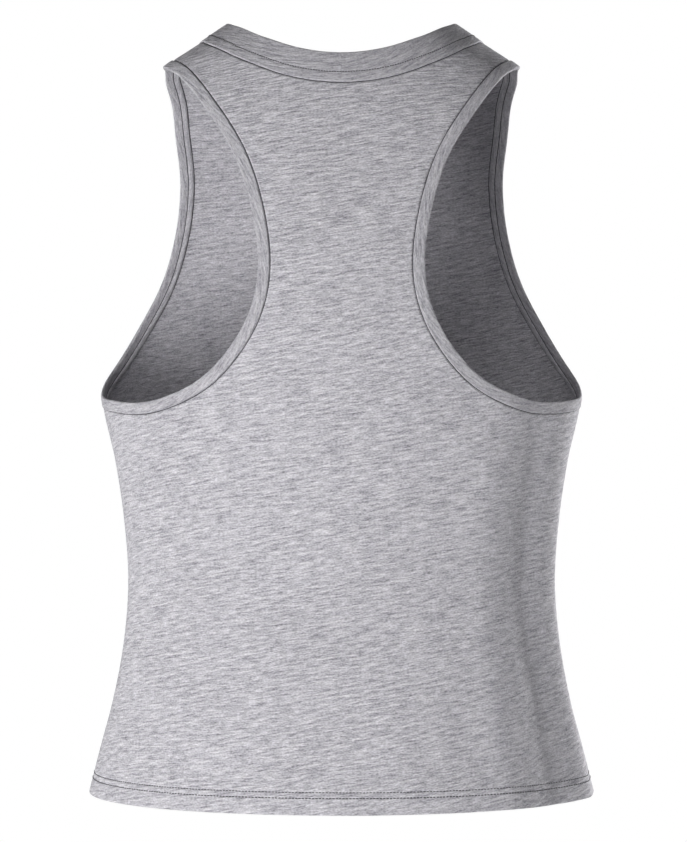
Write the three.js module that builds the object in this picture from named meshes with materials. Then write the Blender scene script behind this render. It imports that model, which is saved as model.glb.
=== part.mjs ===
// A racerback tank top in cotton jersey, filled out as if worn, with no wearer inside.
//
// Millimetres and degrees. +Z is up, the front faces -Y and the back faces +Y. The origin lies midway
// between the two shoulder straps, at their mid height, where the wearer's shoulders carry the top.
//
// Every piece lies on one body form, a stack of level sections. A place on the form is a bearing,
// in degrees round from the centre back towards +X, and a height. The necks and armholes are cut
// lines drawn on the form, the bands are strips along those lines, and the two panels fill the rest.

import * as THREE from 'three';

// ---- Driving sizes

const CLOTH = 1.2; // one layer of jersey, as built
const BAND_CLOTH = 2.4; // a folded band
const HEM_CLOTH = 2.4; // a panel where its hem is turned up
const SEAM_GAP = 0.3; // between neighbouring pieces

const NECKBAND_WIDTH = 21;
const ARMHOLE_BAND_WIDTH = 7.6;
const HEM_DEPTH = 15;
const HEM_STEP = 0.6; // height over which the turned-up hem thins to one layer
const HEM_HEIGHT = -491.5; // height of the hem's edge, below the origin

const BACK = 0; // bearing of the centre back
const SIDE = 90; // bearing of the side and shoulder seams
const FRONT = 180; // bearing of the centre front

// Level sections of the body form: half width at the side, depth to the back and to the front,
// and squareness, where 2 is an ellipse.
const SECTIONS = [
  { height: HEM_HEIGHT, side: 165.6, back: 111, front: 112, square: 2.05 }, // hem
  { height: -462, side: 158, back: 104, front: 107, square: 2.15 },
  { height: -432, side: 150, back: 98, front: 102, square: 2.25 }, // hip
  { height: -392, side: 142.6, back: 91, front: 97, square: 2.25 },
  { height: -353, side: 139.8, back: 86, front: 96, square: 2.25 }, // waist
  { height: -313, side: 142.5, back: 86, front: 101, square: 2.25 },
  { height: -274, side: 148.3, back: 89, front: 108, square: 2.25 },
  { height: -234, side: 156.8, back: 92, front: 113, square: 2.25 }, // chest
  { height: -190, side: 156.8, back: 93, front: 110, square: 2.2 },
  { height: -140, side: 157, back: 90, front: 98, square: 2.15 },
  { height: -90, side: 155, back: 82, front: 82, square: 2.1 },
  { height: -50, side: 146, back: 74, front: 67, square: 2.05 },
  { height: -17, side: 118.5, back: 63.5, front: 51.5, square: 2 }, // end of the shoulder
  { height: 0, side: 93, back: 57, front: 44, square: 2 },
  { height: 14.5, side: 71.8, back: 50, front: 38, square: 2 }, // side of the neck
  { height: 22, side: 60.8, back: 46, front: 34, square: 2 },
];

// The free edge of the neckband, from the centre back to the centre front.
const NECK_EDGE = [
  { bearing: BACK, height: -13.4 },
  { bearing: 25, height: -9.8 },
  { bearing: 45, height: -1.8 },
  { bearing: 65, height: 7.4 },
  { bearing: SIDE, height: 11.4 },
  { bearing: 105, height: 4 },
  { bearing: 120, height: -14 },
  { bearing: 135, height: -41 },
  { bearing: 150, height: -63 },
  { bearing: 165, height: -74.5 },
  { bearing: FRONT, height: -78 },
];

// The free edge of the armhole band, from the shoulder down the racer back, under the arm and up
// the front.
const ARMHOLE_EDGE = [
  { bearing: SIDE, height: -16 },
  { bearing: 69.5, height: -26 },
  { bearing: 50.6, height: -59.3 },
  { bearing: 38, height: -98.6 },
  { bearing: 31.3, height: -144 },
  { bearing: 33.8, height: -181.5 },
  { bearing: 46, height: -217.5 },
  { bearing: 61.5, height: -234.7 },
  { bearing: 76, height: -234.6 },
  { bearing: SIDE, height: -228 },
  { bearing: 105.4, height: -206.8 },
  { bearing: 117.1, height: -165 },
  { bearing: 120.3, height: -124 },
  { bearing: 117.7, height: -83.7 },
  { bearing: 109.6, height: -44.8 },
  { bearing: 100.5, height: -24.5 },
];

// How finely the pieces are faceted.
const NECK_STEPS = 12; // a quarter of the neck
const WIDTH_STEPS = 10; // half a panel's width
const SIDE_STEPS = 12; // the side seam, above the hem
const ARMHOLE_STEPS = 13; // up the armhole, from its foot to where the neck begins

// How the rows of each panel are laid out. Below the armhole they lie level, and the top one of
// them ends on the foot of the armhole, "under" steps of it in from the side. It leaves the centre
// line at the "foot" height. The rows above gather towards it, and turn round the neck over the
// "strap" share of the armhole.
const ROW_LAYOUT = {
  [BACK]: { under: 2, foot: -262, gather: 1.35, strap: 0.3 },
  [FRONT]: { under: 0, foot: -252, gather: 1.1, strap: 0.52 },
};

const JERSEY = { color: 0xbdbbc1, roughness: 0.95, metalness: 0 };

// ---- The body form

// The slope of a column at a row, weighted towards the nearer neighbour.
function slopeAtRow(rows, by, column, row) {
  const rise = (k) => (rows[k + 1][column] - rows[k][column]) / (rows[k + 1][by] - rows[k][by]);
  if (row === 0) return rise(0);
  if (row === rows.length - 1) return rise(row - 1);
  const below = rows[row][by] - rows[row - 1][by];
  const above = rows[row + 1][by] - rows[row][by];
  return (above * rise(row - 1) + below * rise(row)) / (below + above);
}

// One column of a table, read smoothly at a value of its "by" column.
function readColumn(rows, by, column, value) {
  let row = 0;
  while (row < rows.length - 2 && value > rows[row + 1][by]) row += 1;
  const span = rows[row + 1][by] - rows[row][by];
  const t = (value - rows[row][by]) / span;
  const start = rows[row][column];
  const end = rows[row + 1][column];
  const leaving = slopeAtRow(rows, by, column, row) * span;
  const arriving = slopeAtRow(rows, by, column, row + 1) * span;
  const across = t * t * (3 - 2 * t);
  return start + (end - start) * across + leaving * t * (1 - t) ** 2 - arriving * t * t * (1 - t);
}

// The point of the form at a bearing and a height.
function formPoint({ bearing, height }) {
  const angle = THREE.MathUtils.degToRad(bearing);
  const sideways = Math.sin(angle);
  const backwards = Math.cos(angle);
  const depthColumn = backwards >= 0 ? 'back' : 'front';
  const side = readColumn(SECTIONS, 'height', 'side', height);
  const depth = readColumn(SECTIONS, 'height', depthColumn, height);
  const square = readColumn(SECTIONS, 'height', 'square', height);
  const sum = (Math.abs(sideways) / side) ** square + (Math.abs(backwards) / depth) ** square;
  const reach = sum ** (-1 / square);
  return new THREE.Vector3(reach * sideways, reach * backwards, height);
}

// The form's outward direction at a place.
function formNormal({ bearing, height }) {
  const turn = 0.25;
  const rise = 0.5;
  const round = formPoint({ bearing: bearing + turn, height });
  round.sub(formPoint({ bearing: bearing - turn, height }));
  const up = formPoint({ bearing, height: height + rise });
  up.sub(formPoint({ bearing, height: height - rise }));
  return up.cross(round).normalize();
}

// The place on the form straight out from the centre line through a point.
function placeOf(point) {
  const bearing = THREE.MathUtils.radToDeg(Math.atan2(point.x, point.y));
  return { bearing: bearing < -SIDE ? bearing + 360 : bearing, height: point.z };
}

// Half a seam gap at the side seam or the shoulder seam, in degrees.
function halfGapTurn(height) {
  const side = readColumn(SECTIONS, 'height', 'side', height);
  return THREE.MathUtils.radToDeg(SEAM_GAP / 2 / side);
}

// ---- Cut lines

// A cut edge gives a place for a number t, which runs so that the cloth is on its right, seen from
// outside. The neck's t is the bearing, and its rows go on past both centre lines.
const neckRows = [
  ...NECK_EDGE.slice(1, 3).toReversed().map((row) => ({ ...row, bearing: -row.bearing })),
  ...NECK_EDGE,
  ...NECK_EDGE.slice(-3, -1).toReversed().map((row) => ({ ...row, bearing: 2 * FRONT - row.bearing })),
];

function neckEdge(t) {
  return { bearing: t, height: readColumn(neckRows, 'bearing', 'height', t) };
}

// The armhole's t is the share of its length, measured with 2 mm to each degree.
const MM_PER_DEGREE = 2;
const armholeCurve = new THREE.CatmullRomCurve3(
  ARMHOLE_EDGE.map((row) => new THREE.Vector3(row.bearing * MM_PER_DEGREE, row.height, 0)),
  true,
  'catmullrom',
);

function armholeEdge(t) {
  const point = armholeCurve.getPointAt((t + 1) % 1);
  return { bearing: point.x / MM_PER_DEGREE, height: point.y };
}

// The place that lies a distance in from a cut edge, square to the edge.
function inset(edge, t, step, distance) {
  const place = edge(t);
  const along = formPoint(edge(t + step)).sub(formPoint(edge(t - step))).normalize();
  const inward = formNormal(place).cross(along).normalize();
  return placeOf(formPoint(place).addScaledVector(inward, distance));
}

// The t between two values at which the inset line crosses the side.
function sideCrossing(edge, step, distance, low, high) {
  const lowBeyond = inset(edge, low, step, distance).bearing > SIDE;
  let [near, far] = [low, high];
  for (let round = 0; round < 40; round += 1) {
    const middle = (near + far) / 2;
    const beyond = inset(edge, middle, step, distance).bearing > SIDE;
    if (beyond === lowBeyond) near = middle;
    else far = middle;
  }
  return (near + far) / 2;
}

// Stations along a cut edge: the place on the free edge, on the band's seam, and on the panel's
// edge, a seam gap further in.
function stationsAt(edge, step, width, values) {
  return values.map((t) => ({
    edge: edge(t),
    seam: inset(edge, t, step, width),
    panel: inset(edge, t, step, width + SEAM_GAP),
  }));
}

// Evenly spaced numbers, both ends included.
function evenly(from, to, count) {
  return Array.from({ length: count + 1 }, (_, k) => THREE.MathUtils.lerp(from, to, k / count));
}

const NECK_STEP = 0.5;
const neckSide = sideCrossing(neckEdge, NECK_STEP, NECKBAND_WIDTH, 70, 110);

// The stations of a quarter of the neck, from the centre line to the shoulder.
function neckStations(centre) {
  return stationsAt(neckEdge, NECK_STEP, NECKBAND_WIDTH, evenly(centre, neckSide, NECK_STEPS));
}

const ARMHOLE_STEP = 0.002;
const shoulderEnd = sideCrossing(armholeEdge, ARMHOLE_STEP, ARMHOLE_BAND_WIDTH, -0.05, 0.05);
const armholeFoot = sideCrossing(armholeEdge, ARMHOLE_STEP, ARMHOLE_BAND_WIDTH, 0.4, 0.7);

// The stations of one panel's side of the armhole, from its foot to the shoulder.
function armholeStations(centre) {
  const shoulder = centre === BACK ? shoulderEnd : shoulderEnd + 1;
  const turn = THREE.MathUtils.lerp(shoulder, armholeFoot, ROW_LAYOUT[centre].strap);
  const upToTurn = evenly(armholeFoot, turn, ARMHOLE_STEPS);
  const onToShoulder = evenly(turn, shoulder, NECK_STEPS).slice(1);
  return stationsAt(armholeEdge, ARMHOLE_STEP, ARMHOLE_BAND_WIDTH, [...upToTurn, ...onToShoulder]);
}

const neck = { [BACK]: neckStations(BACK), [FRONT]: neckStations(FRONT) };
const armhole = { [BACK]: armholeStations(BACK), [FRONT]: armholeStations(FRONT) };

// ---- Closed sheets of cloth

// Joins patches of cloth into one closed sheet. A patch is a list of rows, and a row is a list of
// places, each with the cloth's reach outwards and inwards from the form. Rows, then places, turn
// anticlockwise seen from outside. Places that coincide are joined, and open edges get a rim.
function sheet(patches) {
  const corners = new Map();
  const outside = [];
  const inside = [];
  const cornerAt = (place) => {
    const point = formPoint(place);
    const key = point.toArray().map((value) => Math.round(value * 1000)).join();
    if (!corners.has(key)) {
      corners.set(key, corners.size);
      const normal = formNormal(place);
      outside.push(...point.clone().addScaledVector(normal, place.out));
      inside.push(...point.clone().addScaledVector(normal, -place.in));
    }
    return corners.get(key);
  };
  const quads = [];
  for (const rows of patches) {
    const grid = rows.map((row) => row.map(cornerAt));
    for (let row = 1; row < grid.length; row += 1) {
      for (let column = 1; column < grid[row].length; column += 1) {
        const [here, below] = [grid[row], grid[row - 1]];
        quads.push([below[column - 1], here[column - 1], here[column], below[column]]);
      }
    }
  }
  const sidesOf = (quad) => quad.map((corner, k) => [corner, quad[(k + 1) % quad.length]]);
  const sides = new Set(quads.flatMap(sidesOf).map(String));
  const faces = [];
  const addFace = (a, b, c, d) => faces.push(a, b, c, a, c, d);
  for (const quad of quads) {
    addFace(...quad);
    addFace(...quad.map((corner) => corner + corners.size).toReversed());
    for (const [a, b] of sidesOf(quad)) {
      if (!sides.has(String([b, a]))) addFace(b, a, a + corners.size, b + corners.size);
    }
  }
  const geometry = new THREE.BufferGeometry();
  geometry.setAttribute('position', new THREE.Float32BufferAttribute([...outside, ...inside], 3));
  geometry.setIndex(faces);
  return geometry;
}

// The same patch on the other side of the centre line.
function mirrored(patch) {
  return patch.map((row) => row.map((place) => ({ ...place, bearing: -place.bearing }))).toReversed();
}

function lerpPlace(from, to, share) {
  return {
    bearing: THREE.MathUtils.lerp(from.bearing, to.bearing, share),
    height: THREE.MathUtils.lerp(from.height, to.height, share),
  };
}

// ---- Panels

// Half a panel below the foot of the armhole, as level rows from the hem's edge up to its head row.
function halfBody(head) {
  const hemTop = HEM_HEIGHT + HEM_DEPTH;
  const level = (height) => head.map(({ bearing }) => ({ bearing, height }));
  const rise = (share) => head.map(({ bearing, height }) => ({
    bearing,
    height: THREE.MathUtils.lerp(hemTop + HEM_STEP, height, share),
  }));
  return [level(HEM_HEIGHT), level(hemTop), ...evenly(0, 1, SIDE_STEPS).map(rise)];
}

// Half a panel above the foot of the armhole. Its rows run from the centre line, and further up from
// the neck, out to the armhole. The last row is the shoulder seam.
function halfYoke(centre, neckLine, armLine) {
  const { foot, gather, under } = ROW_LAYOUT[centre];
  const stepsToNeck = ARMHOLE_STEPS - under;
  return armLine.slice(under).map((outer, k) => {
    const height = THREE.MathUtils.lerp(foot, neckLine[0].height, (k / stepsToNeck) ** gather);
    const inner = neckLine[k - stepsToNeck] ?? { bearing: centre, height };
    return evenly(0, 1, WIDTH_STEPS).map((share) => lerpPlace(inner, outer, share));
  });
}

// Half a panel in two patches, whose seam edges leave half a gap to the other panel.
function halfPanel(centre) {
  const turnToPanel = centre === BACK ? -1 : 1;
  const endOnSeam = ({ height }) => ({ bearing: SIDE + turnToPanel * halfGapTurn(height), height });
  const neckLine = neck[centre].map((station) => station.panel);
  const armLine = armhole[centre].map((station) => station.panel);
  neckLine.push(endOnSeam(neckLine.pop()));
  armLine.push(endOnSeam(armLine.pop()));
  armLine.unshift(endOnSeam(armLine.shift()));
  const yoke = halfYoke(centre, neckLine, armLine);
  const underArm = armLine.slice(0, ROW_LAYOUT[centre].under).toReversed();
  const body = halfBody([...yoke[0], ...underArm]);
  return [body, yoke].map((patch) => patch.map((row) => {
    const places = row.map((place) => ({
      ...place,
      out: CLOTH / 2,
      in: (place.height <= HEM_HEIGHT + HEM_DEPTH ? HEM_CLOTH : CLOTH) - CLOTH / 2,
    }));
    return centre === BACK ? places : places.toReversed();
  }));
}

function panel(centre) {
  const patches = halfPanel(centre);
  return sheet([...patches, ...patches.map(mirrored)]);
}

// ---- Bands

// A band along some stations. Each row is the band's section, from its free edge to its seam.
function band(stations, parts) {
  return stations.map((station) =>
    evenly(0, 1, parts).map((share) => ({
      ...lerpPlace(station.edge, station.seam, share),
      out: BAND_CLOTH / 2,
      in: BAND_CLOTH / 2,
    })),
  );
}

const halfNeckband = band([...neck[BACK], ...neck[FRONT].toReversed().slice(1)], 2);
const armholeBand = band([...armhole[BACK].toReversed(), ...armhole[FRONT].slice(1)], 1);

// ---- The garment

function piece(name, geometry) {
  geometry.computeVertexNormals();
  const mesh = new THREE.Mesh(geometry, new THREE.MeshStandardMaterial(JERSEY));
  mesh.name = name;
  return mesh;
}

const tankTop = new THREE.Group();
tankTop.name = 'tank_top';
tankTop.add(
  piece('back_panel', panel(BACK)),
  piece('front_panel', panel(FRONT)),
  piece('neckband', sheet([halfNeckband, mirrored(halfNeckband)])),
  piece('armhole_band_left', sheet([armholeBand])),
  piece('armhole_band_right', sheet([mirrored(armholeBand)])),
);

export default tankTop;
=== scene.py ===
# A racerback tank top in heather-grey cotton jersey, filled out as if worn, with no wearer inside.
#
# Lengths below are in millimetres and turns in degrees, and each mesh is written in metres. +Z is
# up, the front faces -Y and the back faces +Y. The origin is where the wearer's shoulders are.
#
# A place on the body form is a bearing, round from the centre back towards +X, and a height. The
# cloth is laid on the form with soft folds in it, and every piece, seam and stitch follows it.

import functools
import math

import bpy
import numpy as np
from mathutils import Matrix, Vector


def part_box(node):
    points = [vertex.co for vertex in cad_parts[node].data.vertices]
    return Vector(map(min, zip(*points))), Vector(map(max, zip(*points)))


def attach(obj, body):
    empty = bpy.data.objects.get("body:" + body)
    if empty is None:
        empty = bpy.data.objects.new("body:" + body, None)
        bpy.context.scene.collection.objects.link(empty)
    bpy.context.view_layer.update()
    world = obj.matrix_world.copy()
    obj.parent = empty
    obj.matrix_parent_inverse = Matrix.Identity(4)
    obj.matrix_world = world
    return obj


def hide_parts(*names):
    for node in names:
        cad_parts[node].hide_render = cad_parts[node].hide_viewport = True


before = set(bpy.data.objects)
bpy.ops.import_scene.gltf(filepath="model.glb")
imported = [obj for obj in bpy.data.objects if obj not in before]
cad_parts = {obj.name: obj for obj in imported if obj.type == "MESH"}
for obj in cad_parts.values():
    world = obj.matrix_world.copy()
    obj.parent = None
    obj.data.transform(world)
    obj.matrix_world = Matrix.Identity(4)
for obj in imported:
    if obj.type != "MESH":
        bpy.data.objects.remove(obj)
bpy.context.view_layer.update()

MM = 0.001
RANDOM = np.random.default_rng(7)


def table(columns, *rows):
    """A table of numbers, as a dict of its named columns."""
    return dict(zip(columns.split(), np.array(rows, float).T))


# ---- Sizes of the cut, the same as the solids have

CLOTH = 1.2
BAND_CLOTH = 2.4
SEAM_GAP = 0.3
NECKBAND_WIDTH = 21
ARMHOLE_BAND_WIDTH = 7.6
HEM_DEPTH = 15
HEM_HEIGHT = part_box("back_panel")[0].z / MM

BACK, SIDE, FRONT = 0, 90, 180

SECTIONS = table(
    "height side back front square",
    (-491.5, 165.6, 111, 112, 2.05),  # hem
    (-462, 158, 104, 107, 2.15),
    (-432, 150, 98, 102, 2.25),  # hip
    (-392, 142.6, 91, 97, 2.25),
    (-353, 139.8, 86, 96, 2.25),  # waist
    (-313, 142.5, 86, 101, 2.25),
    (-274, 148.3, 89, 108, 2.25),
    (-234, 156.8, 92, 113, 2.25),  # chest
    (-190, 156.8, 93, 110, 2.2),
    (-140, 157, 90, 98, 2.15),
    (-90, 155, 82, 82, 2.1),
    (-50, 146, 74, 67, 2.05),
    (-17, 118.5, 63.5, 51.5, 2),  # end of the shoulder
    (0, 93, 57, 44, 2),
    (14.5, 71.8, 50, 38, 2),  # side of the neck
    (22, 60.8, 46, 34, 2),
)

NECK_EDGE = table(
    "bearing height",
    (BACK, -13.4),
    (25, -9.8),
    (45, -1.8),
    (65, 7.4),
    (SIDE, 11.4),
    (105, 4),
    (120, -14),
    (135, -41),
    (150, -63),
    (165, -74.5),
    (FRONT, -78),
)

ARMHOLE_EDGE = table(
    "bearing height",
    (SIDE, -16),
    (69.5, -26),
    (50.6, -59.3),
    (38, -98.6),
    (31.3, -144),
    (33.8, -181.5),
    (46, -217.5),
    (61.5, -234.7),
    (76, -234.6),
    (SIDE, -228),
    (105.4, -206.8),
    (117.1, -165),
    (120.3, -124),
    (117.7, -83.7),
    (109.6, -44.8),
    (100.5, -24.5),
)

# Soft folds in the worn cloth. Each runs from a low place to a high one, is "width" across and
# stands "depth" proud, or sinks if that is negative.
FOLDS = table(
    "low_bearing low_height high_bearing high_height width depth",
    (-66, -505, -66, -150, 13, -5.4),
    (-51, -505, -51, -200, 16, 1.8),
    (-78, -505, -79, -250, 11, 2.4),
    (58, -505, 66, -300, 20, -1.4),
    (30, -500, 24, -380, 26, 1.2),
    (-12, -505, -6, -400, 24, -0.9),
    (112, -505, 118, -300, 15, -2.2),
    (130, -505, 134, -330, 18, 1.8),
    (163, -505, 158, -360, 20, -1.5),
    (-118, -505, -112, -290, 16, -2.4),
    (-136, -505, -140, -340, 19, 1.7),
    (-168, -505, -172, -370, 22, -1.2),
)
FOLD_FADE = (0.35, 1.25)  # where a fold starts to fade and where it is gone, by shares of the way up


def read_column(rows, by, column, value):
    """One column of a table, read smoothly at values of its "by" column."""
    x, y = rows[by], rows[column]
    gap = np.diff(x)
    rise = np.diff(y) / gap
    between = (gap[1:] * rise[:-1] + gap[:-1] * rise[1:]) / (gap[1:] + gap[:-1])
    slope = np.concatenate([rise[:1], between, rise[-1:]])
    row = np.clip(np.searchsorted(x, value, side="right") - 1, 0, len(x) - 2)
    t = (value - x[row]) / gap[row]
    start, end = y[row], y[row + 1]
    eased = start + (end - start) * t * t * (3 - 2 * t)
    return eased + gap[row] * (slope[row] * t * (1 - t) ** 2 - slope[row + 1] * t * t * (1 - t))


def unit(vectors):
    return vectors / np.linalg.norm(vectors, axis=-1, keepdims=True)


def paired(first, second):
    """Pairs of numbers, such as places from bearings and heights. Either may be one for all."""
    return np.stack(np.broadcast_arrays(np.asarray(first, float), second), -1)


def smoothstep(low, high, value):
    t = np.clip((value - low) / (high - low), 0, 1)
    return t * t * (3 - 2 * t)


# ---- The body form, and the cloth worn on it. Places are arrays whose last axis is bearing, height.


def form(places):
    """The points of the body form at some places."""
    bearing, height = places[..., 0], places[..., 1]
    sideways, backwards = np.sin(np.radians(bearing)), np.cos(np.radians(bearing))
    back = read_column(SECTIONS, "height", "back", height)
    front = read_column(SECTIONS, "height", "front", height)
    side = read_column(SECTIONS, "height", "side", height)
    square = read_column(SECTIONS, "height", "square", height)
    depth = np.where(backwards >= 0, back, front)
    total = (np.abs(sideways) / side) ** square + (np.abs(backwards) / depth) ** square
    reach = total ** (-1 / square)
    return np.stack([reach * sideways, reach * backwards, height], -1)


def normals_of(surface, places):
    """A surface's outward directions at some places."""
    turn, rise = np.array([0.25, 0]), np.array([0, 0.5])
    round_it = surface(places + turn) - surface(places - turn)
    up = surface(places + rise) - surface(places - rise)
    return unit(np.cross(up, round_it))


def folds(places):
    """How far the folds lift the cloth off the form at some places."""
    bearing, height = places[..., 0], places[..., 1]
    bearing = (bearing + 180) % 360 - 180
    girth = read_column(SECTIONS, "height", "side", height)
    lift = np.zeros(bearing.shape)
    for k in range(len(FOLDS["depth"])):
        fold = {column: values[k] for column, values in FOLDS.items()}
        up = (height - fold["low_height"]) / (fold["high_height"] - fold["low_height"])
        line = fold["low_bearing"] + (fold["high_bearing"] - fold["low_bearing"]) * up
        across = (bearing - line + 180) % 360 - 180
        away = np.radians(across) * girth / fold["width"]
        fade = 1 - smoothstep(*FOLD_FADE, up)
        lift += fold["depth"] * fade * np.exp(-(away**2))
    return lift


def worn(places):
    """The points of the worn cloth's middle, folds and all, at some places."""
    return form(places) + normals_of(form, places) * folds(places)[..., None]


def laid(places, proud):
    """The points that stand proud of the worn cloth's middle by so much, at some places."""
    return worn(places) + normals_of(worn, places) * np.asarray(proud)[..., None]


def place_of(points):
    """The places on the form straight out from the centre line through some points."""
    bearing = np.degrees(np.arctan2(points[..., 0], points[..., 1]))
    bearing = np.where(bearing < -SIDE, bearing + 360, bearing)
    return paired(bearing, points[..., 2])


# ---- The cloth's flat directions: how far round, and how far up from the hem, each place lies

GRID_RISE = 5
GRID_BEARINGS = np.arange(0, 181.0)
GRID_HEIGHTS = np.arange(-510, 31.0, GRID_RISE)


def lengths_between(points, axis):
    """How far apart neighbouring points lie along one axis of their array."""
    return np.linalg.norm(np.diff(points, axis=axis), axis=-1)


def lengths_so_far(points):
    """How far along a run of points each one lies."""
    return np.concatenate([[0], np.cumsum(lengths_between(points, 0))])


grid = form(np.stack(np.meshgrid(GRID_BEARINGS, GRID_HEIGHTS), -1))
GRID_ROUND = np.pad(np.cumsum(lengths_between(grid, 1), 1), ((0, 0), (1, 0)))
GRID_UP = np.pad(np.cumsum(lengths_between(grid, 0), 0), ((1, 0), (0, 0)))


def on_grid(values, bearing, height):
    """A grid of values, a degree by GRID_RISE, read between its lines."""
    column = np.clip(bearing, 0, len(GRID_BEARINGS) - 1.001)
    row = np.clip((height - GRID_HEIGHTS[0]) / GRID_RISE, 0, len(GRID_HEIGHTS) - 1.001)
    i, j = row.astype(int), column.astype(int)
    s, t = row - i, column - j
    low = values[i, j] * (1 - t) + values[i, j + 1] * t
    high = values[i + 1, j] * (1 - t) + values[i + 1, j + 1] * t
    return low * (1 - s) + high * s


def flat_places(places, centre):
    """Where some places lie on the flat cloth, seen from outside: to the right, and up."""
    bearing, height = places[..., 0], places[..., 1]
    turn = np.abs((bearing + 180) % 360 - 180)
    sign = np.sign((bearing + 180 - 1e-9) % 360 - 180)
    away = on_grid(GRID_ROUND, turn, height)
    if centre == FRONT:
        away = on_grid(GRID_ROUND, np.full_like(turn, 180), height) - away
        sign = -sign
    return paired(-sign * away, on_grid(GRID_UP, turn, height))


# ---- Cut lines. A cut edge gives places for numbers t, with the cloth on its right.


def past_the_ends(values, low_end, high_end):
    """Half a neck's values, with two more past each end, mirrored there."""
    return np.concatenate([low_end(values[2:0:-1]), values, high_end(values[-2:-4:-1])])


WHOLE_NECK = {
    "bearing": past_the_ends(NECK_EDGE["bearing"], lambda turn: -turn, lambda turn: 360 - turn),
    "height": past_the_ends(NECK_EDGE["height"], lambda height: height, lambda height: height),
}


def neck_edge(t):
    """The neckband's free edge. Here t is the bearing."""
    turn = np.abs((np.asarray(t, float) + 180) % 360 - 180)
    return paired(t, read_column(WHOLE_NECK, "bearing", "height", turn))


MM_PER_DEGREE = 2  # makes bearings about as long as heights while a curve is worked out
CURVE_STEPS = 60


def closed_curve(corners):
    """A smooth closed curve through some corners, and its length so far, as shares of the whole."""
    before, after, beyond = (np.roll(corners, k, 0) for k in (1, -1, -2))
    t = (np.arange(CURVE_STEPS) / CURVE_STEPS)[:, None]
    leaving, arriving = ((after - before) / 2)[:, None], ((beyond - corners) / 2)[:, None]
    start, end = corners[:, None], after[:, None]
    square = -3 * start + 3 * end - 2 * leaving - arriving
    cube = 2 * start - 2 * end + leaving + arriving
    curve = (start + leaving * t + square * t**2 + cube * t**3).reshape(-1, 2)
    curve = np.vstack([curve, curve[:1]])
    length = lengths_so_far(curve)
    return curve, length / length[-1]


armhole_curve, armhole_share = closed_curve(
    np.stack([ARMHOLE_EDGE["bearing"] * MM_PER_DEGREE, ARMHOLE_EDGE["height"]], -1)
)


def armhole_edge(t):
    """The left armhole band's free edge. Here t is the share of its length."""
    t = np.asarray(t, float) % 1
    bearing = np.interp(t, armhole_share, armhole_curve[:, 0]) / MM_PER_DEGREE
    return paired(bearing, np.interp(t, armhole_share, armhole_curve[:, 1]))


NECK_STEP, ARMHOLE_STEP = 0.5, 0.002  # how far along an edge its direction is taken


def inset(edge, t, step, distance):
    """The places that lie a distance in from a cut edge, square to it."""
    along = unit(form(edge(t + step)) - form(edge(t - step)))
    places = edge(t)
    inward = unit(np.cross(normals_of(form, places), along))
    return place_of(form(places) + inward * distance)


def neck_inset(t, distance):
    t = np.asarray(t, float)
    turn = (t + 180) % 360 - 180
    places = inset(neck_edge, np.abs(turn), NECK_STEP, distance)
    bearing = np.where(turn < 0, -places[..., 0], places[..., 0])
    return paired(bearing, places[..., 1])


def armhole_inset(t, distance):
    return inset(armhole_edge, np.asarray(t, float), ARMHOLE_STEP, distance)


# Where to look for the crossings of the side seam and the shoulder seam, as values of t
FOOT_RANGE = (0.4, 0.7)
SHOULDER_RANGE = (-0.05, 0.05)
NECK_SIDE_RANGE = (70, 110)


def side_crossing(inset_line, distance, low, high):
    """The t between two values at which an inset line crosses the side."""
    low_beyond = inset_line(low, distance)[0] > SIDE
    for halving in range(40):
        middle = (low + high) / 2
        if (inset_line(middle, distance)[0] > SIDE) == low_beyond:
            low = middle
        else:
            high = middle
    return (low + high) / 2


# ---- How finely the cloth is meshed

NECK_STEPS = 40
ARMHOLE_STEPS = 65
WIDTH_STEPS = 72
SIDE_STEPS = 60
BORDER = np.array([6.5, 5.4, 4.4, 3.5, 2.7, 2, 1.4, 0.9, 0.5, 0.2, 0])  # in from a panel's cut edge
HEM_ROWS = np.concatenate([[0.06, 0.25, 0.6], np.arange(1.1, 17.5, 0.42)])  # above its edge
CREEP = 1.5  # how strongly the rows and columns gather towards the side and shoulder seams

# How the rows run: how many meet the armhole below the yoke, where the yoke starts on the centre
# line, how they gather towards that height, and the share of the armhole beside the neck's rows.
ROW_LAYOUT = {
    BACK: {"under": 26, "foot": -262, "gather": 1.35, "strap": 0.3},
    FRONT: {"under": 0, "foot": -252, "gather": 1.1, "strap": 0.52},
}


def gathered(start, end, count):
    """Numbers from start to end that gather towards the end."""
    return start + (end - start) * (1 - np.linspace(1, 0, count + 1) ** CREEP)


def between(start, end, shares):
    """Rows of places from one row to another, by shares of the way."""
    return start + (end - start) * np.asarray(shares)[:, None, None]


def armhole_row(centre, distance):
    """Places a distance in from an armhole's edge, from the side up to the shoulder."""
    foot = side_crossing(armhole_inset, distance, *FOOT_RANGE)
    shoulder = side_crossing(armhole_inset, distance, *SHOULDER_RANGE) + (centre == FRONT)
    turn = shoulder + (foot - shoulder) * ROW_LAYOUT[centre]["strap"]
    up = gathered(turn, foot, ARMHOLE_STEPS)[::-1]
    stations = np.concatenate([up, gathered(turn, shoulder, NECK_STEPS)[1:]])
    return armhole_inset(stations, distance)


def neck_row(centre, distance):
    """Places a distance in from the neck's edge, from the centre to the shoulder."""
    side = side_crossing(neck_inset, distance, *NECK_SIDE_RANGE)
    return neck_inset(gathered(centre, side, NECK_STEPS), distance)


def onto_seam(places, centre):
    """Some places moved to the side or shoulder seam's edge."""
    side = read_column(SECTIONS, "height", "side", places[..., 1])
    half_gap = np.degrees(SEAM_GAP / 2 / side)
    places[..., 0] = SIDE - half_gap if centre == BACK else SIDE + half_gap
    return places


def with_depth(places, depth):
    """Rows of places, with how far in from the band's seam they lie as a third number."""
    return np.concatenate([places, np.broadcast_to(depth, (*places.shape[:2], 1))], -1)


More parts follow.
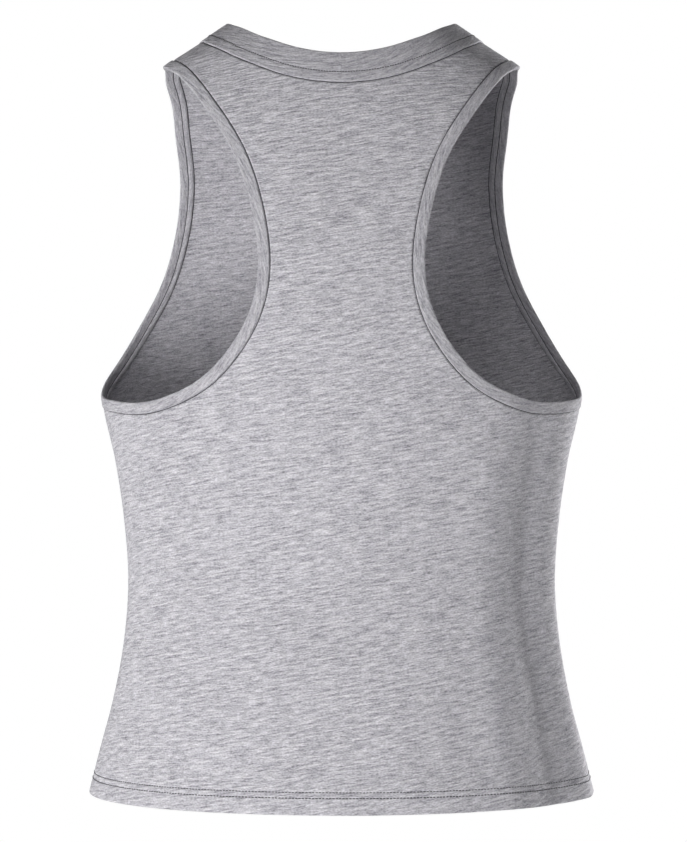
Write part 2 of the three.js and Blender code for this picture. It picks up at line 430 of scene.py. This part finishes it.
def half_panel(centre):
    """Half a panel, as patches of places with a third number, how far in from the band's seam."""
    layout = ROW_LAYOUT[centre]
    arm = np.array([armhole_row(centre, ARMHOLE_BAND_WIDTH + SEAM_GAP + d) for d in BORDER])
    neck = np.array([neck_row(centre, NECKBAND_WIDTH + SEAM_GAP + d) for d in BORDER])
    arm[:, 0] = onto_seam(arm[:, 0], centre)
    arm[:, -1] = onto_seam(arm[:, -1], centre)
    neck[:, -1] = onto_seam(neck[:, -1], centre)
    neck[:, 0, 0] = centre
    steps = ARMHOLE_STEPS - layout["under"]
    up = (np.arange(steps) / steps) ** layout["gather"]
    heights = layout["foot"] + (neck[0, 0, 1] - layout["foot"]) * up
    inner = np.vstack([paired(centre, heights), neck[0]])
    outer = arm[0, layout["under"] :]
    yoke = between(inner, outer, gathered(0, 1, WIDTH_STEPS)).swapaxes(0, 1)
    head = np.vstack([yoke[0], arm[0, : layout["under"]][::-1]])
    hem = np.array([paired(head[:, 0], HEM_HEIGHT + above) for above in HEM_ROWS])
    body = np.concatenate([hem, between(hem[-1], head, np.linspace(0, 1, SIDE_STEPS + 1))[1:]])
    patches = [
        with_depth(body, BORDER[0]),
        with_depth(yoke, BORDER[0]),
        with_depth(arm, BORDER[:, None, None]).swapaxes(0, 1),
        with_depth(neck, BORDER[:, None, None])[::-1].swapaxes(0, 1),
    ]
    return patches if centre == BACK else [patch[:, ::-1] for patch in patches]


def mirrored(patch):
    """The same patch on the other side of the centre line."""
    return (patch * np.array([-1] + [1] * (patch.shape[-1] - 1)))[::-1]


# ---- Meshes

SAME_SPOT = 0.0005  # points this near are one


def quads_of(rows, columns, start):
    """The quads of a grid of points whose first number is start."""
    ids = start + np.arange(rows * columns).reshape(rows, columns)
    return np.stack([ids[:-1, :-1], ids[1:, :-1], ids[1:, 1:], ids[:-1, 1:]], -1).reshape(-1, 4)


def merged(points):
    """The first point at each spot, and for every point the number of its spot."""
    key = np.round(points / SAME_SPOT).astype(np.int64)
    _, first, inverse = np.unique(key, axis=0, return_index=True, return_inverse=True)
    return first, inverse.reshape(-1)


def make_piece(name, points, faces, material, places=None):
    """A piece from points in millimetres and faces, with each face corner's place on the cloth."""
    mesh = bpy.data.meshes.new(name)
    mesh.from_pydata((points * MM).tolist(), [], faces)
    if places is not None:
        layer = mesh.uv_layers.new(name="cloth")
        layer.data.foreach_set("uv", (places * MM).astype(np.float32).ravel())
    mesh.polygons.foreach_set("use_smooth", np.full(len(faces), True))
    mesh.materials.append(material)
    mesh.update()
    piece = bpy.data.objects.new(name, mesh)
    bpy.context.scene.collection.objects.link(piece)
    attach(piece, "root")
    return piece


def thick_sheet(name, patches, centre, outside, inside, material):
    """Cloth with an outer and an inner face on patches of places, closed round its edges."""
    starts = np.cumsum([0] + [patch[..., 0].size for patch in patches])
    quads = np.vstack([quads_of(*patch.shape[:2], start) for patch, start in zip(patches, starts)])
    places = np.vstack([patch.reshape(-1, 3) for patch in patches])
    flat = flat_places(places[:, :2], centre)
    first, joined = merged(worn(places[:, :2]))
    kept = places[first]
    outer = laid(kept[:, :2], outside(kept))
    inner = laid(kept[:, :2], inside(kept))
    count = len(first)
    faces = joined[quads]
    edges = np.stack([faces, np.roll(faces, -1, 1)], -1).reshape(-1, 2)
    corners = np.stack([quads, np.roll(quads, -1, 1)], -1).reshape(-1, 2)
    key, back_key = edges @ [count, 1], edges @ [1, count]
    open_edge = ~np.isin(key, back_key)
    start, end = edges[open_edge].T
    start_corner, end_corner = corners[open_edge].T
    rims = np.stack([end, start, start + count, end + count], -1)
    rim_corners = np.stack([end_corner, start_corner, start_corner, end_corner], -1)
    faces = np.vstack([faces, faces[:, ::-1] + count, rims])
    seen_from_inside = np.array([-1, 1])
    flat = np.vstack([flat[quads], flat[quads[:, ::-1]] * seen_from_inside, flat[rim_corners]])
    return make_piece(name, np.vstack([outer, inner]), faces.tolist(), material, flat)


def joined_grid(name, points, places, material):
    """A closed surface from one grid of points whose far edges meet its near ones."""
    quads = quads_of(*points.shape[:2], 0)
    points = points.reshape(-1, 3)
    first, joined = merged(points)
    faces = joined[quads].tolist()
    return make_piece(name, points[first], faces, material, places.reshape(-1, 2)[quads])


def threads(name, lines, ups, radius, material, closed=False, sides=6):
    """Lengths of round thread along lines of points, joined as one mesh. Open ones taper."""
    count, steps = lines.shape[:2]
    ids = np.arange(count * steps * sides).reshape(count, steps, sides)
    if closed:
        along = np.roll(lines, -1, 1) - np.roll(lines, 1, 1)
        thick = np.full(steps, radius)
        here, there = ids, np.roll(ids, -1, 1)
    else:
        along = np.gradient(lines, axis=1)
        thick = radius * np.sin(np.linspace(0.25, 0.75, steps) * np.pi)
        here, there = ids[:, :-1], ids[:, 1:]
    along = unit(along)
    across = unit(np.cross(along, ups))
    up = np.cross(across, along)
    angle = np.arange(sides) * 2 * np.pi / sides
    ring = np.cos(angle)[:, None] * across[:, :, None] + np.sin(angle)[:, None] * up[:, :, None]
    points = lines[:, :, None] + ring * thick[None, :, None, None]
    quads = np.stack([here, np.roll(here, -1, 2), np.roll(there, -1, 2), there], -1)
    faces = quads.reshape(-1, 4).tolist()
    if not closed:
        faces += ids[:, 0, ::-1].tolist() + ids[:, -1].tolist()
    return make_piece(name, points.reshape(-1, 3), faces, material)


# ---- Materials

MIX_LOW, MIX_HIGH, MIXED = 6, 7, 2  # a colour Mix node's two colours, and its output


def nodes_for(name):
    """A new material, its node maker and its shader."""
    material = bpy.data.materials.new(name)
    material.use_nodes = True
    tree = material.node_tree
    shader = tree.nodes["Principled BSDF"]

    def add(kind, inputs=(), **settings):
        node = tree.nodes.new(kind)
        for key, value in settings.items():
            setattr(node, key, value)
        for socket, value in dict(inputs).items():
            if isinstance(value, bpy.types.NodeSocket):
                tree.links.new(value, node.inputs[socket])
            else:
                node.inputs[socket].default_value = value
        return node

    def link(source, socket):
        tree.links.new(source, shader.inputs[socket])

    return material, add, link, shader


WALE_WIDTH, COURSE_HEIGHT = 0.85, 0.62  # of the fine loops
LOOP_LEAN = 1.3  # how much the loops climb from the groove between two wales
FIBRE_LEAN = 10

# The heather's darker and lighter fibre, from the longest marks to the shortest.
FIBRES = {
    "streaks": {"length": 15, "thickness": 1.8, "lean": FIBRE_LEAN, "detail": 2.5, "shift": 0},
    "flecks": {"length": 5.5, "thickness": 0.95, "lean": FIBRE_LEAN - 2, "detail": 2, "shift": 0.31},
    "specks": {"length": 1.5, "thickness": 0.8, "lean": 0, "detail": 1.5, "shift": 0.77},
    "clouds": {"length": 60, "thickness": 22, "lean": FIBRE_LEAN, "detail": 1, "shift": 0.13},
}
# How much each kind of mark shades the cloth, how far the noise that it is made from strays from a
# half, and how much it stands up.
FIBRE_SHADE = {"streaks": 0.26, "flecks": 0.26, "specks": 0.24, "clouds": 0.03}
FIBRE_SPREAD = {"streaks": 0.25, "flecks": 0.25, "specks": 0.25, "clouds": 0.2}
FIBRE_RELIEF = {"streaks": 0.9, "flecks": 0.7}
KNIT_RELIEF = 0.35
LOOP_BODY = 1.4  # how high a wale stands between its loops, against a loop's own height
RELIEF_HEIGHT = 0.2  # of the bumps, which the loops and the marks share
DARK_FIBRE_TINT = (0.99, 0.985, 1.03)


def jersey(name, colour, contrast=1.0):
    """Heather jersey. Streaks of darker and lighter fibre lean along its rows of fine loops."""
    material, add, link, shader = nodes_for(name)
    cloth = add("ShaderNodeUVMap", uv_map="cloth").outputs["UV"]

    def marks(spread, length, thickness, lean, detail, shift):
        """Marks of a length and thickness that lean by so many degrees, from -1 to 1 in shade."""
        stretched = add(
            "ShaderNodeMapping",
            {
                "Vector": cloth,
                "Location": (shift, shift, 0),
                "Rotation": (0, 0, math.radians(lean)),
                "Scale": (length * MM, thickness * MM, 1),
            },
            vector_type="TEXTURE",
        ).outputs["Vector"]
        inputs = {"Vector": stretched, "Scale": 1, "Detail": detail, "Roughness": 0.5}
        noise = add("ShaderNodeTexNoise", inputs, noise_dimensions="2D").outputs["Fac"]
        return ranged(noise, 0.5 - spread, 0.5 + spread, -1, 1)

    def ranged(value, low, high, to_low, to_high):
        ends = {"From Min": low, "From Max": high, "To Min": to_low, "To Max": to_high}
        return add("ShaderNodeMapRange", {"Value": value, **ends}).outputs["Result"]

    def math_node(operation, a, b=0.0):
        return add("ShaderNodeMath", {0: a, 1: b}, operation=operation).outputs[0]

    def weighed(parts, weights):
        """The sum of some parts, each times its weight."""
        products = [math_node("MULTIPLY", parts[key], weight) for key, weight in weights.items()]
        return functools.reduce(lambda a, b: math_node("ADD", a, b), products)

    fibres = {key: marks(FIBRE_SPREAD[key], **sizes) for key, sizes in FIBRES.items()}
    shade = weighed(fibres, {key: weight * contrast for key, weight in FIBRE_SHADE.items()})
    tint = add("ShaderNodeMix", {"Factor": ranged(fibres["streaks"], -1, 1, 0, 1)}, data_type="RGBA")
    tint.inputs[MIX_LOW].default_value = (*np.multiply(colour, DARK_FIBRE_TINT), 1)
    tint.inputs[MIX_HIGH].default_value = (*colour, 1)
    factor = math_node("ADD", shade, 1.0)
    shaded = add("ShaderNodeVectorMath", {0: tint.outputs[MIXED], "Scale": factor}, operation="SCALE")
    link(shaded.outputs[0], "Base Color")

    split = add("ShaderNodeSeparateXYZ", {"Vector": cloth})
    wale = math_node("DIVIDE", split.outputs[0], WALE_WIDTH * MM)
    course = math_node("DIVIDE", split.outputs[1], COURSE_HEIGHT * MM)
    across = math_node("PINGPONG", wale, 0.5)
    leaning = math_node("ADD", course, math_node("MULTIPLY", across, LOOP_LEAN))
    loops = math_node("SINE", math_node("MULTIPLY", leaning, 2 * math.pi))
    groove = math_node("SINE", math_node("MULTIPLY", across, 2 * math.pi))
    knit = math_node("MULTIPLY", math_node("ADD", loops, LOOP_BODY), groove)
    slubs = weighed(fibres, FIBRE_RELIEF)
    relief = math_node("ADD", math_node("MULTIPLY", knit, KNIT_RELIEF), slubs)
    bump = add("ShaderNodeBump", {"Strength": 1, "Distance": RELIEF_HEIGHT * MM, "Height": relief})
    link(bump.outputs["Normal"], "Normal")
    shader.inputs["Roughness"].default_value = 0.95
    shader.inputs["Specular IOR Level"].default_value = 0.25
    shader.inputs["Sheen Weight"].default_value = 0.06
    shader.inputs["Sheen Roughness"].default_value = 0.6
    return material


MOTTLE_SCALE, TWIST_SCALE = 900, 1500
MOTTLE = 0.25  # how far the thread's colour varies either way
TWIST_HEIGHT = 0.05  # of the bumps


def thread_material(name, colour):
    """Spun thread, with a fine twist and a little colour variation."""
    material, add, link, shader = nodes_for(name)
    place = add("ShaderNodeTexCoord").outputs["Object"]
    mottle = add("ShaderNodeTexNoise", {"Vector": place, "Scale": MOTTLE_SCALE, "Detail": 1})
    ramp = add("ShaderNodeMix", {"Factor": mottle.outputs["Fac"]}, data_type="RGBA")
    ramp.inputs[MIX_LOW].default_value = (*np.multiply(colour, 1 - MOTTLE), 1)
    ramp.inputs[MIX_HIGH].default_value = (*np.multiply(colour, 1 + MOTTLE), 1)
    link(ramp.outputs[MIXED], "Base Color")
    twist = add("ShaderNodeTexWave", {"Vector": place, "Scale": TWIST_SCALE, "Distortion": 1.5})
    relief = {"Distance": TWIST_HEIGHT * MM, "Height": twist.outputs["Fac"]}
    bump = add("ShaderNodeBump", {"Strength": 0.4, **relief})
    link(bump.outputs["Normal"], "Normal")
    shader.inputs["Roughness"].default_value = 0.7
    return material


panel_cloth = jersey("panel_jersey", (0.45, 0.441, 0.463))
# The bands are the panels' fabric in a darker colour, which is painted shade for the shaded neckband.
band_cloth = jersey("band_jersey", (0.41, 0.402, 0.422), 0.8)
# The seam thread is near-black: partly the thread's own colour, partly painted shade along the seams.
seam_thread_and_shade = thread_material("seam_thread_and_shade", (0.035, 0.034, 0.038))
# The stitch thread is near-black: partly the thread's own colour, partly painted shade round the
# stitches.
stitch_thread_and_shade = thread_material("stitch_thread_and_shade", (0.045, 0.044, 0.048))
overlock_thread = thread_material("overlock_thread", (0.33, 0.32, 0.35))

# ---- Panels

EDGE_ROLL = 0.7  # how far a cut edge turns down into a band's seam
EDGE_ROLL_REACH = 0.55
SIDE_ROLL_SHARE = 0.75  # of EDGE_ROLL, at the side and shoulder seams
SIDE_ROLL_REACH = 1.1
STITCH_HEIGHTS = (10.1, 13.6)  # the hem's two rows of stitches, above its edge
STITCH_SINK = 0.32  # how far a row of stitches pulls the cloth in
STITCH_REACH = 0.5
HEM_FOLD = BAND_CLOTH / 2
HEM_STEP = (HEM_DEPTH - 0.2, HEM_DEPTH + 0.3)  # where the turned-up hem's cut edge ends


def seam_distance(places):
    """How far places lie from the side and shoulder seams."""
    side = read_column(SECTIONS, "height", "side", places[:, 1])
    return np.radians(np.abs(np.abs(places[:, 0]) - SIDE)) * side


def bell(distance, reach):
    """1 at no distance, fading to nothing over a few times the reach."""
    return np.exp(-((distance / reach) ** 2))


def hem_round(above):
    """Half the thickness of the folded hem, near its rounded edge."""
    return np.sqrt(np.clip(HEM_FOLD**2 - np.clip(HEM_FOLD - above, 0, None) ** 2, 0.01, None))


def panel_outside(places):
    """How far a panel's outer face stands off the cloth's middle."""
    above = places[:, 1] - HEM_HEIGHT
    roll = bell(places[:, 2], EDGE_ROLL_REACH)
    side_roll = SIDE_ROLL_SHARE * bell(seam_distance(places), SIDE_ROLL_REACH)
    stitched = sum(bell(above - height, STITCH_REACH) for height in STITCH_HEIGHTS)
    fold = -HEM_FOLD + CLOTH / 2 + hem_round(above)
    return np.minimum(CLOTH / 2, fold) - EDGE_ROLL * np.maximum(roll, side_roll) - STITCH_SINK * stitched


def panel_inside(places):
    """How far a panel's inner face stands off the cloth's middle, with its hem turned up."""
    above = places[:, 1] - HEM_HEIGHT
    turned_up = 1 - smoothstep(*HEM_STEP, above)
    middle = -HEM_FOLD + CLOTH / 2
    hem = middle - hem_round(above)
    return turned_up * hem + (1 - turned_up) * -CLOTH / 2


def whole_panel(name, centre, node):
    """A panel from its half and the same half mirrored, in the place of its solid."""
    half = half_panel(centre)
    patches = half + [mirrored(patch) for patch in half]
    panel = thick_sheet(name, patches, centre, panel_outside, panel_inside, panel_cloth)
    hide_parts(node)
    return panel


back = whole_panel("back", BACK, "back_panel")
front = whole_panel("front", FRONT, "front_panel")

# ---- Lines along the seams, that bands and threads follow


class SeamLine:
    """A closed run of places, which can be asked for the places at lengths along it."""

    def __init__(self, places):
        self.places = places
        self.far = lengths_so_far(worn(places))
        self.length = self.far[-1]

    def at(self, lengths):
        lengths = lengths % self.length
        bearing = np.interp(lengths, self.far, self.places[:, 0])
        return paired(bearing, np.interp(lengths, self.far, self.places[:, 1]))


LINE_STEPS = 1600
ROUND = 360
ARMHOLES = {"left": 1, "right": -1}


def neck_ring(distance, steps):
    """Places all round the neck, a distance in from its edge."""
    places = neck_inset(np.linspace(0, ROUND, steps + 1), distance)
    places[:, 0] = np.unwrap(places[:, 0], period=ROUND)
    return places


def armhole_ring(distance, steps, side):
    """Places all round an armhole, a distance in from its edge. The side is from ARMHOLES."""
    return armhole_inset(np.linspace(0, 1, steps + 1), distance) * np.array([side, 1])


def neck_line(distance):
    return SeamLine(neck_ring(distance, LINE_STEPS))


def armhole_line(distance, side):
    return SeamLine(armhole_ring(distance, LINE_STEPS, side))


def level_line(above):
    """A level line round the hem, a height above its edge."""
    return SeamLine(paired(np.linspace(0, ROUND, LINE_STEPS + 1), HEM_HEIGHT + above))


# ---- Bands

NECK_STATIONS, ARMHOLE_STATIONS = 420, 460
BAND_CORNER = 0.7  # how soon a band turns down into its seam
BAND_CORNER_DROP = 0.3
BAND_STEP = 0.6  # between the lines of points along a band
NECKBAND_PUFF, ARMHOLE_BAND_PUFF = 0.15, 0.12
BAND_STITCH_REACH = 0.6
PUFF_POWER = 0.6  # the lower it is, the fuller a band's puff is near its edges


def band_profile(width, puff, dips=()):
    """A folded band's section: how far in from its free edge, and how far off the middle."""
    half = BAND_CLOTH / 2
    turn = np.radians(np.linspace(-90, -270, 9))
    edge = np.stack([half + half * np.cos(turn), half * np.sin(turn)], -1)
    steps = max(8, round((width - 2 * half) / BAND_STEP))
    flat = np.linspace(half, width - BAND_CORNER, steps)[1:]
    drop = np.radians(np.linspace(0, 75, 6))[1:]
    end = np.stack([BAND_CORNER * np.sin(drop), (half + BAND_CORNER_DROP) * np.cos(drop)], -1)
    end += [width - BAND_CORNER, -BAND_CORNER_DROP]
    lining = np.append(width, flat[::-1])
    section = np.vstack([paired(lining, -half), edge, paired(flat, half), end])
    outer = section[:, 1] > 0
    section[:, 1] += outer * puff * np.sin(np.pi * np.clip(section[:, 0] / width, 0, 1)) ** PUFF_POWER
    for dip in dips:
        section[:, 1] -= outer * STITCH_SINK * bell(section[:, 0] - dip, BAND_STITCH_REACH)
    return section


def band(name, edge, seam, profile, width, node):
    """A folded band, and its length, from places round its free edge and round its seam."""
    share = (profile[:, 0] / width)[None, :, None]
    places = edge[:, None] * (1 - share) + seam[:, None] * share
    points = laid(places, np.broadcast_to(profile[:, 1], places.shape[:2]))
    far = lengths_so_far((form(edge) + form(seam)) / 2)
    over = lengths_so_far(profile)
    piece = joined_grid(name, points, paired(far[:, None], over), band_cloth)
    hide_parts(node)
    return piece, far[-1]


NECK_TOPSTITCH = NECKBAND_WIDTH - 6.8  # in from the free edge

neckband, neck_length = band(
    "neckband_cloth",
    neck_ring(0, NECK_STATIONS),
    neck_ring(NECKBAND_WIDTH, NECK_STATIONS),
    band_profile(NECKBAND_WIDTH, NECKBAND_PUFF, [NECK_TOPSTITCH]),
    NECKBAND_WIDTH,
    "neckband",
)

armhole_bands = {}
for name, side in ARMHOLES.items():
    # The right band's places run the other way, so that its faces still point outwards.
    armhole_bands[name], armhole_length = band(
        f"armhole_band_{name}_cloth",
        armhole_ring(0, ARMHOLE_STATIONS, side)[::side],
        armhole_ring(ARMHOLE_BAND_WIDTH, ARMHOLE_STATIONS, side)[::side],
        band_profile(ARMHOLE_BAND_WIDTH, ARMHOLE_BAND_PUFF),
        ARMHOLE_BAND_WIDTH,
        f"armhole_band_{name}",
    )

# ---- Seams and stitches

SEAM_THREAD_RADIUS = 0.34
SEAM_THREAD_PROUD = -0.1
CORD_STEP = 1.2
STITCH_ARCH = 0.24  # how far a stitch's middle stands above its ends
STITCH_SCATTER = 0.05  # how unevenly the stitches start, as a share of their pitch
THREAD_STEPS = np.linspace(0, 1, 5)
LOOPER_END = 0.9999  # shares just short of a whole loop, where it would start again
ALLOWANCE_END = 0.999999
HEM_LOOPER = (9.8, HEM_DEPTH + 0.6)  # above the hem's edge
HEM_LOOPER_PROUD = -1.95


def seam_cord(name, line, proud, radius=SEAM_THREAD_RADIUS):
    """A seam's thread, lying in the ditch between two pieces. Its near-black colour also paints the
    ditch's shade.
    """
    places = line.at(np.linspace(0, line.length, round(line.length / CORD_STEP) + 1)[:-1])
    points = laid(places, np.full(len(places), proud))
    threads(name, points[None], normals_of(worn, places)[None], radius, seam_thread_and_shade, True)


def stitches(name, line, proud, pitch, cover, radius):
    """A row of straight stitches along a line, each dipping into the cloth at its ends. Their near-black
    colour also paints the shade round the stitches.
    """
    count = round(line.length / pitch)
    pitch = line.length / count
    scatter = RANDOM.uniform(-STITCH_SCATTER, STITCH_SCATTER, count)
    starts = (np.arange(count) + scatter) * pitch
    places = line.at(starts[:, None] + THREAD_STEPS * pitch * cover)
    arch = proud + STITCH_ARCH * (np.sin(np.pi * THREAD_STEPS) - 0.5)
    points = laid(places, np.broadcast_to(arch, places.shape[:2]))
    threads(name, points, normals_of(worn, places), radius, stitch_thread_and_shade)


def zigzag(name, low_line, high_line, proud, pitch=2.5, radius=0.2):
    """Looper thread that crosses to and fro between two lines."""
    count = round(low_line.length / pitch)
    share = np.abs(2 * THREAD_STEPS - 1)[None, :, None]
    fraction = (np.arange(count)[:, None] + THREAD_STEPS) / count * LOOPER_END
    places = low_line.at(fraction * low_line.length) * share
    places += high_line.at(fraction * high_line.length) * (1 - share)
    points = laid(places, np.full(places.shape[:2], proud))
    threads(name, points, normals_of(worn, places), radius, overlock_thread, sides=5)


seam_cord("neck_seam_thread", neck_line(NECKBAND_WIDTH + SEAM_GAP / 2), SEAM_THREAD_PROUD)
neck_row_of_stitches = neck_line(NECK_TOPSTITCH)
stitches("neck_topstitch", neck_row_of_stitches, proud=1.22, pitch=1.7, cover=0.7, radius=0.3)
hem_low, hem_high = (level_line(height) for height in STITCH_HEIGHTS)
stitches("hem_stitches_lower", hem_low, proud=0.45, pitch=2.1, cover=0.68, radius=0.34)
stitches("hem_stitches_upper", hem_high, proud=0.45, pitch=2.1, cover=0.68, radius=0.28)
zigzag("hem_looper_thread", *map(level_line, HEM_LOOPER), HEM_LOOPER_PROUD)
for name, side in ARMHOLES.items():
    seam = armhole_line(ARMHOLE_BAND_WIDTH + SEAM_GAP / 2, side)
    seam_cord(f"armhole_{name}_seam_thread_and_shade", seam, SEAM_THREAD_PROUD)

# ---- The turned allowance of each band's seam, on the inside

# Its section, by the share of its width from the band's side, and round again close to the cloth.
ALLOWANCE = table(
    "share proud",
    (0, -1),
    (0.08, -1.75),
    (0.25, -2.05),
    (0.5, -2.1),
    (0.75, -1.95),
    (0.92, -1.55),
    (1, -0.75),
    (0.92, -0.5),
    (0.5, -0.5),
    (0.08, -0.7),
    (0, -1),
)
ARMHOLE_ALLOWANCE = (ARMHOLE_BAND_WIDTH - 2.1, ARMHOLE_BAND_WIDTH + 1.9)
NECK_ALLOWANCE = (NECK_TOPSTITCH - 0.6, NECKBAND_WIDTH + 0.6)
ALLOWANCE_THREAD_ASIDE = 0.25  # the threads along its edges lie this far past them
ALLOWANCE_THREAD_RADIUS = 0.3
ALLOWANCE_THREAD_PROUD = {"inner": -1.25, "outer": -0.7}


def allowance(name, line_at, low, high, steps):
    """A flat strip of turned cloth that covers a seam on the inside."""
    across = ALLOWANCE["share"] * (high - low)
    lines = [line_at(low + distance) for distance in across]
    fraction = np.linspace(0, 1, steps + 1)
    places = np.stack([line.at(fraction * line.length * ALLOWANCE_END) for line in lines], 1)
    places[-1] = places[0]
    points = laid(places, np.broadcast_to(ALLOWANCE["proud"], places.shape[:2]))
    flat = paired(fraction[:, None] * lines[0].length, across)
    joined_grid(name, points, flat, band_cloth)


for name, side in ARMHOLES.items():
    low, high = ARMHOLE_ALLOWANCE
    strip = f"armhole_{name}_allowance"
    allowance(strip, lambda distance: armhole_line(distance, side), low, high, ARMHOLE_STATIONS)
    rows = {"inner": low - ALLOWANCE_THREAD_ASIDE, "outer": high + ALLOWANCE_THREAD_ASIDE}
    for row, distance in rows.items():
        proud = ALLOWANCE_THREAD_PROUD[row]
        line = armhole_line(distance, side)
        seam_cord(f"armhole_{name}_{row}_thread", line, proud, ALLOWANCE_THREAD_RADIUS)
allowance("neck_allowance", neck_line, *NECK_ALLOWANCE, NECK_STATIONS)

# ---- Studio, in metres

FLOOR_BELOW_SHOULDERS = 1.35
FLOOR_REACH = 4
FLOOR_GREYS = (0.84, 0.88)
FLOOR_GLOW = 0.7  # the floor's own light, which keeps it pale and doesn't reach the cloth
FLOOR_GRAIN_SCALE = 30
CAMERA_DISTANCE = 1.75
CAMERA_HEIGHT = -0.248
CAMERA_ASIDE = -0.0013
VIEW_HEIGHT = 0.5557  # how much the picture shows, at the origin's distance
SENSOR = 36  # millimetres

camera_data = bpy.data.cameras.new("camera")
camera_data.sensor_width = SENSOR
camera_data.lens = SENSOR * CAMERA_DISTANCE / VIEW_HEIGHT
camera = bpy.data.objects.new("camera", camera_data)
camera.location = (CAMERA_ASIDE, CAMERA_DISTANCE, CAMERA_HEIGHT)
camera.rotation_euler = (math.radians(90), 0, math.radians(180))
bpy.context.scene.collection.objects.link(camera)
bpy.context.scene.camera = camera

floor_material, add, link, shader = nodes_for("pale_floor")
place = add("ShaderNodeTexCoord").outputs["Object"]
grain = add("ShaderNodeTexNoise", {"Vector": place, "Scale": FLOOR_GRAIN_SCALE})
paint = add("ShaderNodeMix", {"Factor": grain.outputs["Fac"]}, data_type="RGBA")
for socket, grey in zip((MIX_LOW, MIX_HIGH), FLOOR_GREYS):
    paint.inputs[socket].default_value = (grey, grey, grey, 1)
link(paint.outputs[MIXED], "Base Color")
shader.inputs["Roughness"].default_value = 0.8
shader.inputs["Emission Color"].default_value = (1, 1, 1, 1)
shader.inputs["Emission Strength"].default_value = FLOOR_GLOW
floor_corners = [
    (x * FLOOR_REACH, y * FLOOR_REACH, -FLOOR_BELOW_SHOULDERS)
    for x, y in ((-1, -1), (1, -1), (1, 1), (-1, 1))
]
floor_mesh = bpy.data.meshes.new("floor")
floor_mesh.from_pydata(floor_corners, [], [(0, 1, 2, 3)])
floor_mesh.materials.append(floor_material)
floor = bpy.data.objects.new("floor", floor_mesh)
floor.visible_diffuse = False
bpy.context.scene.collection.objects.link(floor)

# Soft lights round the garment. A bearing is counted as on the form, so the camera is at 0, and the
# picture's left has bearings over 0.
SOFTBOXES = table(
    "bearing elevation watts",
    (30, -18, 31.5),  # the key, low on the picture's left
    (5, 22, 7),
    (-70, -18, 4.5),
    (-130, 5, 46),  # a rim light from the picture's right, which is also the front's key
    (125, 5, 18),
)
SOFTBOX_DISTANCE = 1.6
SOFTBOX_SIZE = (0.8, 0.9)
MIDDLE = Vector((0, 0, -0.25))

for bearing, elevation, watts in zip(*SOFTBOXES.values()):
    round_it, up = math.radians(bearing), math.radians(elevation)
    toward = Vector((math.sin(round_it) * math.cos(up), math.cos(round_it) * math.cos(up), math.sin(up)))
    data = bpy.data.lights.new("softbox", "AREA")
    data.shape = "RECTANGLE"
    data.size, data.size_y = SOFTBOX_SIZE
    data.energy = watts
    light = bpy.data.objects.new("softbox", data)
    light.location = MIDDLE + toward * SOFTBOX_DISTANCE
    light.rotation_mode = "QUATERNION"
    light.rotation_quaternion = (-toward).to_track_quat("-Z", "Y")
    light.visible_camera = False
    bpy.context.scene.collection.objects.link(light)

BACKGROUND = 1.0
AMBIENT = 0.012
world = bpy.data.worlds.new("studio")
bpy.context.scene.world = world
world.use_nodes = True
tree = world.node_tree
tree.nodes.clear()
seen = tree.nodes.new("ShaderNodeLightPath")
strength = tree.nodes.new("ShaderNodeMapRange")
strength.inputs["To Min"].default_value = AMBIENT
strength.inputs["To Max"].default_value = BACKGROUND
background = tree.nodes.new("ShaderNodeBackground")
background.inputs["Color"].default_value = (1, 1, 1, 1)
output = tree.nodes.new("ShaderNodeOutputWorld")
tree.links.new(seen.outputs["Is Camera Ray"], strength.inputs["Value"])
tree.links.new(strength.outputs["Result"], background.inputs["Strength"])
tree.links.new(background.outputs["Background"], output.inputs["Surface"])
bpy.context.scene.view_settings.view_transform = "Standard"
